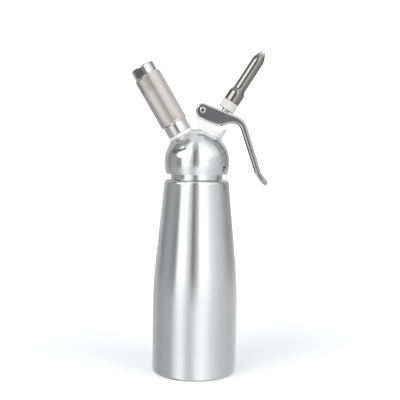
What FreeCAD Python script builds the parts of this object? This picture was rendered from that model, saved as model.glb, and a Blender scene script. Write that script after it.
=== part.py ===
import FreeCAD, Part
import os
from math import sin, cos, tan, radians, pi, sqrt

# Whipped cream dispenser for half a litre of cream and one 8 g gas charger.
# Millimetres, +Z up, origin at the centre of the bottle's base.
# The front view looks along +Y: charger holder to the left (-X), nozzle and lever to the right (+X).

os.makedirs("parts", exist_ok=True)
V = FreeCAD.Vector

# Clearances
RUN_GAP = 0.08          # radial gap of a part that slides or turns in a bore
THREAD_GAP = 0.2        # radial gap between two plain cylinders that stand for a thread
PRESS_GAP = 0.15        # idle play between lever and collar nut
SEAT_GAP = 0.1          # gap between two faces that close on each other
GAS_GAP = 0.3           # room for the gas charger in its holder

# Bottle, spun and drawn aluminium
BOTTLE_R = 40.0         # outer radius at the foot
BOTTLE_WALL = 1.6
BOTTLE_TOP = 183.0      # height of the flat shoulder
TAPER_FROM = 84.0       # height where the wall starts to lean in
TAPER_DEG = 5.67        # lean of the upper wall
TAPER_BLEND = 445.0     # radius of the blend between straight and leaning wall
SHOULDER_ROUND = 4.0
FOOT_ROUND = 2.2
FOOT_RIM = 6.5          # width of the ring that the bottle stands on
FOOT_RECESS = 1.4       # depth of the hollow under the bottle
FLOOR = 3.0             # thickness of the bottle's floor
FLOOR_ROUND = 4.0       # inside, between floor and wall
NECK_R = 24.5
NECK_WALL = 2.6
NECK_HEIGHT = 15.0      # from the shoulder to the lip

# Head, cast and turned aluminium
COLLAR_GAP = 5.0        # neck left bare between shoulder and head
DOME_R = 30.5
COLLAR_DRAFT = 1.5      # how much narrower the head is at its lower edge
DOME_RISE = 11.5        # from the lower edge to the widest place
GASKET_H = 3.0
GASKET_W = 4.4          # radial width of the head gasket
CAVITY_R = 19.5         # hollow over the gasket
CAVITY_H = 12.0
CAVITY_ROUND = 9.0
BOSS_ROOT = 5.0         # where the cast bosses start inside the dome, from their crossings
CAST_BLEND = 2.4        # fillet between casting bosses and dome

# Charger side, leaning to the left
GAS_LEAN = -30.7        # degrees from vertical
GAS_CROSS_UNDER = 0.5   # its axis crosses the bottle's this far under the dome's centre
PAD_R = 12.2            # cast pad under the holder's mouth
PAD_PROUD = 0.8         # pad's face beyond the dome's radius
NIPPLE_THREAD_R = 6.5   # thread in the head
NIPPLE_DEEP = 12.3      # length screwed into the head
NIPPLE_R = 9.6          # thread that takes the holder
NIPPLE_TALL = 12.0
NIPPLE_CUP_R = 4.7      # cup for the charger's neck
NIPPLE_CUP_DEEP = 10.8
GALLERY_R = 3.5         # gas room under the pin
GALLERY_DEEP = 5.5
GAS_WAYS = 3            # small holes from the gallery down to the flap
GAS_WAY_R = 0.7
GAS_WAY_AT = 2.7        # from the nipple's axis
FLAP_R = 4.6
FLAP_H = 1.8
FLAP_LIP = 0.5          # thickness at the rim
FLAP_STALK_R = 1.3
FLAP_STALK = 4.0
PIN_R = 1.2
PIN_FLANGE = 1.5
PIN_REACH = 3.8         # how far the point stands over its flange
CHARGER_SEAL_H = 1.4
CHARGER_R = 9.0
CHARGER_LEN = 65.3
CHARGER_NECK_R = 4.35
CHARGER_NECK_LEN = 8.0
CHARGER_SHOULDER = 7.0
CHARGER_WALL = 1.8
CHARGER_CAP = 2.5       # thickness of the pierced end
HOLDER_SMOOTH_R = 11.5
HOLDER_GRIP_R = 12.8
HOLDER_RING = 10.8      # smooth length at the mouth
HOLDER_CAP = 10.5       # smooth length at the closed end
HOLDER_END_WALL = 2.4
THREAD_LEN = 13.0       # relieved bore at the holder's mouth

# Valve side, leaning to the right
VALVE_LEAN = 32.2
VALVE_CROSS_OVER = 6.4  # its axis crosses the bottle's this far over the dome's centre
BOSS_R = 11.3
BOSS_PROUD = 4.1        # boss's face beyond the dome's radius, from the crossing
BOSS_FLAT_DEEP = 5.8    # flats on the boss's sides, beside the lever's cheeks
STEM_R = 4.0
STEM_TOP_R = 3.5        # threaded upper part
STEM_BORE = 1.9         # cream passage
SEAT_DEEP = 22.6        # sealing face inside the head, under the boss's face
SEAT_POCKET_R = 8.0
SPRING_POCKET_R = 6.6
SPRING_POCKET = 12.0    # depth from the boss's top
SPRING_WIRE = 1.1
SPRING_TURNS = 5
SPRING_STEPS = 12       # flats in one turn of the plain coil
SEAL_R = 6.4
SEAL_H = 3.6
SEAL_BORE_R = 2.4       # the stem's thin foot, through seal and nut
SEAL_NUT_R = 5.0
SEAL_NUT_H = 3.0
PORT_R = 1.4            # side holes that let cream into the stem
PORT_LIP = 0.4          # from the seal's face to the holes
O_RING = 1.3            # thickness of the stem's rings
COLLAR_NUT_R = 7.6
COLLAR_NUT_H = 6.4
COLLAR_CROWN = 16.0     # radius of its domed top, where the lever presses
ADAPTOR_R = 8.0
ADAPTOR_H = 8.6
ADAPTOR_OVER_PLATE = 2.24   # gap between lever and adaptor, on the axis
ADAPTOR_SOCKET_LEFT = 1.6   # wall left over the stem's end
ADAPTOR_RIBS = 24
RIB_DEPTH = 0.5
ADAPTOR_WAY_R = 2.6     # cream passage over the stem's end
SPIGOT_R = 5.6          # upper thread of the adaptor
SPIGOT_H = 8.6
NOZZLE_LEN = 54.7
NOZZLE_R = 5.7
NOZZLE_WALL = 0.8
SKIRT_R = 7.6
SKIRT_H = 9.8
OGEE_H = 5.2
OGIVE_H = 9.0           # closing-in length at the tip
TIP_R = 2.3
TULIP_SLOTS = 6
SLOT_W = 1.7

# Lever, pressed stainless steel
PIVOT_X = 4.85
PIVOT_OVER = 17.57      # pivot's height over the dome's crown
PLATE_DEG = 21.1        # slope of the top plate at rest
LEVER_W = 20.0
SHEET = 1.6
EDGE_ROUND = 2.0
PLATE_OVER = 6.54       # top plate's face over the pivot
CHEEK_UNDER = 8.05      # cheek's lower edge under the pivot
END_BACK = 6.0          # lever's end behind the pivot
PLATE_BACK = 0.5        # its top plate starts this far behind the pivot, clear of the ear
BEND_AT = 39.4          # from the pivot to the bend, along the plate
HANDLE_DEG = 50.9       # turn of the handle from the plate
HANDLE_LEN = 51.4
HANDLE_DEEP = 5.0
BEND_ROUND = 16.0
END_ROUND = 5.9         # upper corner behind the pivot
END_ROUND_LOW = 8.0
BELLY_BACK = 19.7       # cheek's lower edge ends this far before the bend
WAIST_BACK = 10.8
FLARE_LEN = 14.5        # from the straight handle to its tip
FLARE_OUT = 3.4         # how far the flare bends outwards
FLARE_ROUND = 6.0
TONGUE_TAPER = 9.0      # length over which the flare narrows to its tip
EAR_R = 6.3
EAR_BACK = 1.2          # ear's flat back beyond its round
EAR_FOOT = 2.2          # height of the ear's inner corner over the pad
EAR_UNDER_PLATE = 0.35  # gap between the ear and the plate
PIVOT_PIN_R = 2.5
SCREW_HEAD_R = 2.9
SCREW_HEAD_H = 1.5
SCREW_R = 1.5
SCREW_LEN = 6.0
STEM_SLOT_GAP = 1.0     # room around the stem in the lever's slot
CHEEK_GAP = 0.4         # gap between the lever's cheeks and the block that they straddle


# Outlines and solids

def corner_arc(before, corner, after, radius):
    """Tangent arc that rounds one corner of an outline: start, middle and end points."""
    a = (before - corner).normalize()
    b = (after - corner).normalize()
    half = a.getAngle(b) / 2
    reach = radius / tan(half)
    middle = (a + b).normalize() * (radius / sin(half) - radius)
    return corner + a * reach, corner + middle, corner + b * reach


def outline(corners):
    """Closed face in the XZ plane. A corner is (x, z) or (x, z, rounding radius)."""
    points = [V(c[0], 0, c[1]) for c in corners]
    edges = []
    ends = []
    for i, c in enumerate(corners):
        if len(c) == 3:
            start, middle, end = corner_arc(points[i - 1], points[i], points[(i + 1) % len(points)], c[2])
            edges.append((i, Part.Arc(start, middle, end).toShape()))
            ends.append((start, end))
        else:
            ends.append((points[i], points[i]))
    pieces = [e for i, e in edges]
    for i in range(len(points)):
        here = ends[i][1]
        there = ends[(i + 1) % len(points)][0]
        if here.distanceToPoint(there) > 1e-6:
            pieces.append(Part.LineSegment(here, there).toShape())
    wire = Part.Wire(Part.__sortEdges__(pieces))
    return Part.Face(wire)


def turned(corners):
    """Solid of revolution about Z from a half section."""
    return outline(corners).revolve(V(0, 0, 0), V(0, 0, 1), 360)


def across(corners, width):
    """Plate with the outline in the XZ plane, centred on Y = 0."""
    face = outline(corners)
    face.translate(V(0, -width / 2, 0))
    return face.extrude(V(0, width, 0))


def rod(radius, low, high):
    return Part.makeCylinder(radius, high - low, V(0, 0, low))


def tube(outer, inner, low, high):
    return rod(outer, low, high).cut(rod(inner, low, high))


def cross_rod(radius, length, x, z):
    """Cylinder along Y, centred on Y = 0."""
    return Part.makeCylinder(radius, length, V(x, -length / 2, z), V(0, 1, 0))


def leaning(lean, height):
    """Place of an axis that crosses the bottle's axis at a height and leans from vertical."""
    return FreeCAD.Placement(V(0, 0, height), FreeCAD.Rotation(V(0, 1, 0), lean))


def put(shape, place):
    moved = shape.copy()
    moved.Placement = place.multiply(moved.Placement)
    return moved


def save(name, shape):
    solids = shape.Solids
    clean = solids[0] if len(solids) == 1 else Part.makeCompound(solids)
    clean.exportStep("parts/" + name + ".step")


# Heights along the three axes, worked out from the sizes above

LIP_Z = BOTTLE_TOP + NECK_HEIGHT
SADDLE_W = LEVER_W - 2 * SHEET - 2 * CHEEK_GAP
HEAD_LOW = BOTTLE_TOP + COLLAR_GAP
CEILING_Z = LIP_Z + GASKET_H
DOME_Z = HEAD_LOW + DOME_RISE
COLLAR_R = DOME_R - COLLAR_DRAFT
PIVOT_Z = DOME_Z + DOME_R + PIVOT_OVER
THREAD_BORE_R = NECK_R + THREAD_GAP
FLOOR_Z = FOOT_RECESS + FLOOR

GAS_CROSS = DOME_Z - GAS_CROSS_UNDER
PAD_TOP = DOME_R + PAD_PROUD
NIPPLE_LOW = PAD_TOP - NIPPLE_DEEP
NIPPLE_TOP = PAD_TOP + NIPPLE_TALL
CUP_FLOOR = NIPPLE_TOP - NIPPLE_CUP_DEEP
SEAL_LOW = CUP_FLOOR + PIN_FLANGE
NECK_TIP = SEAL_LOW + CHARGER_SEAL_H + SEAT_GAP
CHARGER_END = NECK_TIP + CHARGER_LEN
HOLDER_LOW = PAD_TOP + 2 * SEAT_GAP
HOLDER_TOP = CHARGER_END + SEAT_GAP + HOLDER_END_WALL

VALVE_CROSS = DOME_Z + VALVE_CROSS_OVER
BOSS_TOP = DOME_R + BOSS_PROUD
SEAT_AT = BOSS_TOP - SEAT_DEEP
SPRING_LOW = BOSS_TOP - SPRING_POCKET
PLATE_COS = cos(radians(VALVE_LEAN - PLATE_DEG))


def plate_over_axis():
    """Where the lever plate's underside crosses the valve's axis, measured along that axis."""
    lean = radians(VALVE_LEAN)
    away = V(PIVOT_X, 0, PIVOT_Z - VALVE_CROSS)
    pivot_s = away.x * sin(lean) + away.z * cos(lean)
    pivot_q = away.x * cos(lean) - away.z * sin(lean)
    tilt = radians(VALVE_LEAN - PLATE_DEG)
    return pivot_s + (PLATE_OVER - SHEET) / cos(tilt) - pivot_q * tan(tilt)


NUT_TOP = plate_over_axis() + COLLAR_CROWN - (COLLAR_CROWN + PRESS_GAP) / PLATE_COS
NUT_LOW = NUT_TOP - COLLAR_NUT_H
ADAPTOR_LOW = plate_over_axis() + SHEET / PLATE_COS + ADAPTOR_OVER_PLATE
ADAPTOR_TOP = ADAPTOR_LOW + ADAPTOR_H
STEM_TOP = ADAPTOR_TOP - ADAPTOR_SOCKET_LEFT
NOZZLE_LOW = ADAPTOR_TOP
NOZZLE_TOP = NOZZLE_LOW + NOZZLE_LEN

GAS_AXIS = leaning(GAS_LEAN, GAS_CROSS)
VALVE_AXIS = leaning(VALVE_LEAN, VALVE_CROSS)
LEVER_FRAME = FreeCAD.Placement(V(PIVOT_X, 0, PIVOT_Z), FreeCAD.Rotation(V(0, 1, 0), PLATE_DEG))


# Bottle

def bottle():
    lean = tan(radians(TAPER_DEG))
    shoulder_r = BOTTLE_R - (BOTTLE_TOP - TAPER_FROM) * lean
    inner_top = BOTTLE_TOP - BOTTLE_WALL
    inner_shoulder = shoulder_r - BOTTLE_WALL + BOTTLE_WALL * lean
    neck_in = NECK_R - NECK_WALL
    rim = BOTTLE_R - FOOT_RIM
    return turned([
        (0, FOOT_RECESS), (rim - 1.5, FOOT_RECESS, 2), (rim, 0, 1),
        (BOTTLE_R, 0, FOOT_ROUND), (BOTTLE_R, TAPER_FROM, TAPER_BLEND),
        (shoulder_r, BOTTLE_TOP, SHOULDER_ROUND), (NECK_R, BOTTLE_TOP, 0.7),
        (NECK_R, LIP_Z, 0.6), (neck_in, LIP_Z, 0.6), (neck_in, inner_top, 1.5),
        (inner_shoulder, inner_top, SHOULDER_ROUND - BOTTLE_WALL),
        (BOTTLE_R - BOTTLE_WALL, TAPER_FROM, TAPER_BLEND - BOTTLE_WALL),
        (BOTTLE_R - BOTTLE_WALL, FLOOR_Z, FLOOR_ROUND), (0, FLOOR_Z)])


def head_gasket():
    outer = NECK_R - 0.2
    return turned([(outer - GASKET_W, LIP_Z), (outer, LIP_Z), (outer, CEILING_Z, 0.4),
                   (outer - GASKET_W, CEILING_Z, 0.4)])


# Head

def dome():
    """Turned outside of the head: a nearly straight skirt under a half sphere."""
    low = V(COLLAR_R, 0, HEAD_LOW)
    wide = V(DOME_R, 0, DOME_Z)
    skirt_r = (DOME_RISE ** 2 + (DOME_R - COLLAR_R) ** 2) / (2 * (DOME_R - COLLAR_R))
    bow = DOME_RISE / 2
    skirt_mid = V(DOME_R - skirt_r + sqrt(skirt_r ** 2 - bow ** 2), 0, DOME_Z - bow)
    top = V(0, 0, DOME_Z + DOME_R)
    cap_mid = V(DOME_R * cos(pi / 4), 0, DOME_Z + DOME_R * sin(pi / 4))
    foot = V(0, 0, HEAD_LOW)
    edges = [Part.LineSegment(foot, low).toShape(), Part.Arc(low, skirt_mid, wide).toShape(),
             Part.Arc(wide, cap_mid, top).toShape(), Part.LineSegment(top, foot).toShape()]
    return Part.Face(Part.Wire(edges)).revolve(V(0, 0, 0), V(0, 0, 1), 360)


def on_valve(across_axis, along_axis):
    """Point of the XZ plane given across and along the valve's axis."""
    lean = radians(VALVE_LEAN)
    return (along_axis * sin(lean) + across_axis * cos(lean),
            VALVE_CROSS + along_axis * cos(lean) - across_axis * sin(lean))


def on_gas(across_axis, along_axis):
    """Point of the XZ plane given across and along the charger's axis."""
    lean = radians(GAS_LEAN)
    return (along_axis * sin(lean) + across_axis * cos(lean),
            GAS_CROSS + along_axis * cos(lean) - across_axis * sin(lean))


def saddle():
    """Block on top of the head: it joins pad and valve boss and carries the lever's ear."""
    ear_front = PLATE_OVER - SHEET - EAR_UNDER_PLATE
    ear_left = PIVOT_X - EAR_R
    ear_right = PIVOT_X + ear_front
    pad_x, pad_z = on_gas(PAD_R, PAD_TOP)
    plane = tan(radians(VALVE_LEAN))
    boss_x, boss_z = on_valve(0, BOSS_TOP)
    block = across([
        on_gas(0, PAD_TOP / 2), (pad_x, pad_z), (ear_left, pad_z + EAR_FOOT, EAR_R / 2),
        (ear_left, PIVOT_Z), (ear_right, PIVOT_Z),
        (ear_right, boss_z + (boss_x - ear_right) * plane, EAR_R / 4), (boss_x, boss_z),
        on_valve(0, BOSS_TOP / 2)], SADDLE_W)
    ear_back = cross_rod(EAR_R, SADDLE_W, PIVOT_X, PIVOT_Z)
    keep = Part.makeBox(EAR_R, SADDLE_W, 2 * EAR_R, V(ear_left - EAR_BACK, -SADDLE_W / 2, PIVOT_Z - EAR_R))
    ear_top = cross_rod(ear_front, SADDLE_W, PIVOT_X, PIVOT_Z)
    return block.fuse([ear_back.common(keep), ear_top])


def boss_flats():
    """Cheeks of the lever pass beside the boss, so its sides are milled flat near the top."""
    blank = rod(1.2 * BOSS_R, BOSS_TOP - BOSS_FLAT_DEEP, BOSS_TOP + 1)
    core = Part.makeBox(4 * BOSS_R, SADDLE_W, 4 * BOSS_R, V(-2 * BOSS_R, -SADDLE_W / 2, 0))
    return put(blank.cut(core), VALVE_AXIS)


def blend_edges(solid):
    """Edges where the bosses meet the dome, away from the turned skirt."""
    found = []
    for edge in solid.Edges:
        box = edge.BoundBox
        round_end = edge.Curve.TypeId in ("Part::GeomCircle", "Part::GeomLine")
        if round_end or box.ZMin < DOME_Z + BOSS_ROOT or box.ZMax > DOME_Z + DOME_R + 1:
            continue
        found.append(edge)
    return found


def head():
    body = dome()
    pad = put(rod(PAD_R, BOSS_ROOT, PAD_TOP), GAS_AXIS)
    boss = put(rod(BOSS_R, BOSS_ROOT, BOSS_TOP), VALVE_AXIS)
    body = body.fuse([pad, boss, saddle()])
    body = body.removeSplitter()
    edges = blend_edges(body)
    body = body.makeFillet(CAST_BLEND, edges)
    body = body.cut(boss_flats())
    thread = rod(THREAD_BORE_R, HEAD_LOW - 1, CEILING_Z)
    top = CEILING_Z + CAVITY_H
    cavity = turned([(0, CEILING_Z - 1), (CAVITY_R, CEILING_Z - 1), (CAVITY_R, top, CAVITY_ROUND), (0, top)])
    valve_way = rod(SEAT_POCKET_R, SEAT_AT - CAVITY_R, SEAT_AT).fuse([
        rod(STEM_R + RUN_GAP, SEAT_AT, BOSS_TOP), rod(SPRING_POCKET_R, SPRING_LOW, BOSS_TOP + 1)])
    gas_way = rod(NIPPLE_THREAD_R, BOSS_ROOT, PAD_TOP + 1)
    pivot_hole = cross_rod(PIVOT_PIN_R + RUN_GAP, SADDLE_W + 2, PIVOT_X, PIVOT_Z)
    return body.cut([thread, cavity, put(valve_way, VALVE_AXIS), put(gas_way, GAS_AXIS), pivot_hole])


# Gas side

def charger_nipple():
    """Plated brass stub: screwed into the head, threaded outside for the holder."""
    lead = 0.08 * NIPPLE_R
    body = turned([(0, NIPPLE_LOW), (NIPPLE_THREAD_R, NIPPLE_LOW), (NIPPLE_THREAD_R, PAD_TOP),
                   (NIPPLE_R, PAD_TOP), (NIPPLE_R, NIPPLE_TOP - lead), (NIPPLE_R - lead, NIPPLE_TOP),
                   (0, NIPPLE_TOP)])
    cup = rod(NIPPLE_CUP_R, CUP_FLOOR, NIPPLE_TOP + 1)
    gallery = rod(GALLERY_R, CUP_FLOOR - GALLERY_DEEP, CUP_FLOOR)
    ways = []
    for i in range(GAS_WAYS):
        hole = rod(GAS_WAY_R, NIPPLE_LOW - 1, CUP_FLOOR - 0.9 * GALLERY_DEEP)
        hole.translate(V(GAS_WAY_AT, 0, 0))
        ways.append(hole.rotate(V(0, 0, 0), V(0, 0, 1), 360 / GAS_WAYS * i))
    stalk_hole = rod(FLAP_STALK_R, NIPPLE_LOW - 1, NIPPLE_LOW + FLAP_STALK)
    return put(body.cut([cup, gallery, stalk_hole] + ways), GAS_AXIS)


def gas_valve_flap():
    """Silicone umbrella under the nipple: gas lifts its rim, cream can't go back."""
    body = turned([(0, NIPPLE_LOW - FLAP_H), (FLAP_R / 2, NIPPLE_LOW - 0.8 * FLAP_H),
                   (FLAP_R, NIPPLE_LOW - FLAP_LIP), (FLAP_R, NIPPLE_LOW), (FLAP_STALK_R, NIPPLE_LOW),
                   (FLAP_STALK_R, NIPPLE_LOW + FLAP_STALK), (0, NIPPLE_LOW + FLAP_STALK)])
    return put(body, GAS_AXIS)


def piercing_pin():
    """Hardened hollow pin on a flange, which lies on the floor of the nipple's cup."""
    point = SEAL_LOW + PIN_REACH
    body = turned([(0, CUP_FLOOR), (NIPPLE_CUP_R, CUP_FLOOR), (NIPPLE_CUP_R, SEAL_LOW), (PIN_R, SEAL_LOW),
                   (PIN_R, point - PIN_R), (PIN_R / 2, point), (0, point)])
    return put(body.cut(rod(0.3 * PIN_R, CUP_FLOOR - 1, point + 1)), GAS_AXIS)


def charger_seal():
    """Soft ring between the pin's flange and the charger's neck."""
    body = tube(NIPPLE_CUP_R, PIN_R, SEAL_LOW, SEAL_LOW + CHARGER_SEAL_H)
    return put(body, GAS_AXIS)


def gas_charger():
    """Steel gas cartridge, neck towards the head, its cap already pierced."""
    shoulder = NECK_TIP + CHARGER_NECK_LEN
    body_from = shoulder + CHARGER_SHOULDER
    wall = CHARGER_WALL
    shell = turned([
        (0, NECK_TIP), (CHARGER_NECK_R, NECK_TIP), (CHARGER_NECK_R, shoulder, CHARGER_R / 4),
        (CHARGER_R, body_from, CHARGER_R / 2), (CHARGER_R, CHARGER_END, CHARGER_R / 2), (0, CHARGER_END)])
    inside = turned([
        (0, NECK_TIP + CHARGER_CAP), (CHARGER_NECK_R - wall, NECK_TIP + CHARGER_CAP),
        (CHARGER_NECK_R - wall, shoulder + wall / 2), (CHARGER_R - wall, body_from + wall / 2),
        (CHARGER_R - wall, CHARGER_END - wall, CHARGER_R / 3), (0, CHARGER_END - wall)])
    pierced = rod(1.25 * PIN_R, NECK_TIP - 1, NECK_TIP + CHARGER_CAP + 1)
    return put(shell.cut([inside, pierced]), GAS_AXIS)


def charger_holder():
    """Turned sleeve, closed at the top, with a raised grip band for the knurling."""
    grip_low = HOLDER_LOW + HOLDER_RING
    grip_top = HOLDER_TOP - HOLDER_CAP
    ramp = HOLDER_GRIP_R - HOLDER_SMOOTH_R
    inner_end = HOLDER_TOP - HOLDER_END_WALL
    bore = CHARGER_R + GAS_GAP
    relief = NIPPLE_R + THREAD_GAP
    body = turned([
        (relief, HOLDER_LOW), (HOLDER_SMOOTH_R, HOLDER_LOW, 0.5), (HOLDER_SMOOTH_R, grip_low - ramp / 2),
        (HOLDER_GRIP_R, grip_low + ramp / 2), (HOLDER_GRIP_R, grip_top - ramp / 2),
        (HOLDER_SMOOTH_R, grip_top + ramp / 2), (HOLDER_SMOOTH_R, HOLDER_TOP, 1.6), (0, HOLDER_TOP),
        (0, inner_end), (bore, inner_end, CHARGER_R / 3), (bore, HOLDER_LOW + THREAD_LEN),
        (relief, HOLDER_LOW + THREAD_LEN - (relief - bore))])
    return put(body, GAS_AXIS)


# Valve side

def valve_stem():
    """Hollow rod: side holes at the bottom, open at the top, threaded for nut and adaptor."""
    foot = SEAT_AT - SEAL_H - SEAL_NUT_H
    body = turned([
        (0, foot), (SEAL_BORE_R, foot), (SEAL_BORE_R, SEAT_AT - SEAT_GAP), (STEM_R, SEAT_AT - SEAT_GAP),
        (STEM_R, NUT_LOW), (STEM_TOP_R, NUT_LOW), (STEM_TOP_R, STEM_TOP), (0, STEM_TOP)])
    passage = rod(STEM_BORE, SEAT_AT + PORT_LIP / 2, STEM_TOP + 1)
    port_at = SEAT_AT + PORT_LIP + PORT_R
    ports = [Part.makeCylinder(PORT_R, 2 * STEM_R + 2, V(-STEM_R - 1, 0, port_at), V(1, 0, 0)),
             Part.makeCylinder(PORT_R, 2 * STEM_R + 2, V(0, -STEM_R - 1, port_at), V(0, 1, 0))]
    grooves = []
    for at in ring_places():
        grooves.append(tube(STEM_R + 1, STEM_R - O_RING, at - O_RING / 2, at + O_RING / 2))
    return put(body.cut([passage] + ports + grooves), VALVE_AXIS)


def ring_places():
    """Two ring grooves in the part of the stem that stays inside the head's bore."""
    first = SEAT_AT + 3 * PORT_R + O_RING + 1
    return [first, first + 2 * O_RING]


def stem_o_rings():
    """Two rubber rings, each with eight flats for its round section."""
    thick = O_RING / 2 - RUN_GAP / 4
    middle = STEM_R + RUN_GAP / 2 - O_RING / 2
    rings = []
    for at in ring_places():
        corners = []
        for k in range(8):
            turn = radians(45 * k + 22.5)
            corners.append((middle + thick * cos(turn), at + thick * sin(turn)))
        rings.append(put(turned(corners), VALVE_AXIS))
    return Part.makeCompound(rings)


def stem_seal():
    """Silicone cone that closes the head's bore from inside."""
    low = SEAT_AT - SEAL_H
    body = turned([(SEAL_BORE_R, low), (SEAL_NUT_R, low), (SEAL_R, low + 0.6 * SEAL_H),
                   (SEAL_R, SEAT_AT - SEAT_GAP), (SEAL_BORE_R, SEAT_AT - SEAT_GAP)])
    return put(body, VALVE_AXIS)


def seal_nut():
    """Small hexagon nut that holds the seal on the stem."""
    low = SEAT_AT - SEAL_H - SEAL_NUT_H
    points = [V(SEAL_NUT_R * cos(radians(60 * i)), SEAL_NUT_R * sin(radians(60 * i)), low) for i in range(7)]
    body = Part.Face(Part.makePolygon(points)).extrude(V(0, 0, SEAL_NUT_H))
    return put(body.cut(rod(SEAL_BORE_R, low, low + SEAL_NUT_H)), VALVE_AXIS)


def collar_nut():
    """Round nut on the stem with a domed top: the spring lifts it, the lever presses it."""
    blank = rod(COLLAR_NUT_R, NUT_LOW, NUT_TOP)
    crown = Part.makeSphere(COLLAR_CROWN, V(0, 0, NUT_TOP - COLLAR_CROWN))
    body = blank.common(crown).cut(rod(STEM_TOP_R, NUT_LOW, NUT_TOP))
    return put(body, VALVE_AXIS)


def valve_spring():
    """Coil spring around the stem, between the boss's pocket and the collar nut."""
    wire_r = SPRING_WIRE / 2
    coil_r = (STEM_R + SPRING_POCKET_R) / 2
    low = SPRING_LOW + wire_r
    rise = NUT_LOW - wire_r - low
    steps = SPRING_TURNS * SPRING_STEPS
    sections = []
    for i in range(steps + 1):
        turns = [radians(60 * k) for k in range(7)]
        section = Part.makePolygon([V(coil_r + wire_r * cos(t), 0, wire_r * sin(t)) for t in turns])
        section.rotate(V(0, 0, 0), V(0, 0, 1), 360 / SPRING_STEPS * i)
        section.translate(V(0, 0, low + rise * i / steps))
        sections.append(section)
    return put(Part.makeLoft(sections, True, True), VALVE_AXIS)


def nozzle_adaptor():
    """White plastic nut with finger ribs below and a thread for the nozzle above."""
    top = ADAPTOR_TOP + SPIGOT_H
    body = turned([(0, ADAPTOR_LOW), (ADAPTOR_R, ADAPTOR_LOW), (ADAPTOR_R, ADAPTOR_TOP),
                   (SPIGOT_R, ADAPTOR_TOP), (SPIGOT_R, top - RIB_DEPTH), (SPIGOT_R - RIB_DEPTH, top),
                   (0, top)])
    socket = rod(STEM_TOP_R, ADAPTOR_LOW - 1, STEM_TOP)
    way = rod(ADAPTOR_WAY_R, STEM_TOP, top + 1)
    inner = V(ADAPTOR_R - RIB_DEPTH, 0, ADAPTOR_LOW + RIB_DEPTH)
    left = V(ADAPTOR_R + RIB_DEPTH, -2 * RIB_DEPTH, inner.z)
    right = V(ADAPTOR_R + RIB_DEPTH, 2 * RIB_DEPTH, inner.z)
    notch = Part.Face(Part.makePolygon([inner, left, right, inner]))
    groove = notch.extrude(V(0, 0, ADAPTOR_H - 2 * RIB_DEPTH))
    cuts = []
    for i in range(ADAPTOR_RIBS):
        cuts.append(groove.copy().rotate(V(0, 0, 0), V(0, 0, 1), 360 / ADAPTOR_RIBS * i))
    return put(body.cut([socket, way] + cuts), VALVE_AXIS)


def nozzle_tip():
    """Drawn stainless nozzle: skirt, ogee, straight tube, and a tip closed in with slots."""
    skirt_top = NOZZLE_LOW + SKIRT_H
    tube_low = skirt_top + OGEE_H
    ogive = NOZZLE_TOP - OGIVE_H
    socket_r = SPIGOT_R + THREAD_GAP
    bore = NOZZLE_R - NOZZLE_WALL
    socket_top = NOZZLE_LOW + SPIGOT_H + GAS_GAP
    mouth = TIP_R - NOZZLE_WALL
    body = turned([
        (socket_r, NOZZLE_LOW + SEAT_GAP), (SKIRT_R, NOZZLE_LOW + SEAT_GAP, 0.4), (SKIRT_R, skirt_top, 3),
        (NOZZLE_R, tube_low - 1.5, 3), (NOZZLE_R, ogive + 2, 14), (TIP_R, NOZZLE_TOP, 1.0),
        (mouth, NOZZLE_TOP), (bore, ogive + 2, 13), (bore, socket_top + 3), (socket_r, socket_top)])
    slots = []
    for i in range(TULIP_SLOTS):
        cut = across([(0, NOZZLE_TOP + 1), (NOZZLE_R + 1, NOZZLE_TOP + 1), (NOZZLE_R + 1, ogive + 1.5),
                      (bore - 0.6, ogive + 1.5), (0, NOZZLE_TOP - 3)], SLOT_W)
        slots.append(cut.rotate(V(0, 0, 0), V(0, 0, 1), 360 / TULIP_SLOTS * i))
    return put(body.cut(slots), VALVE_AXIS)


# Lever, drawn in its own frame: X along the plate, Z up from it, origin in the pivot

def handle_point(along, out, *rounding):
    """Corner given along the handle from the bend and outwards from its outer face."""
    turn = radians(HANDLE_DEG)
    x = BEND_AT + along * cos(turn) + out * sin(turn)
    z = PLATE_OVER - along * sin(turn) + out * cos(turn)
    return (x, z) + rounding


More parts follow.
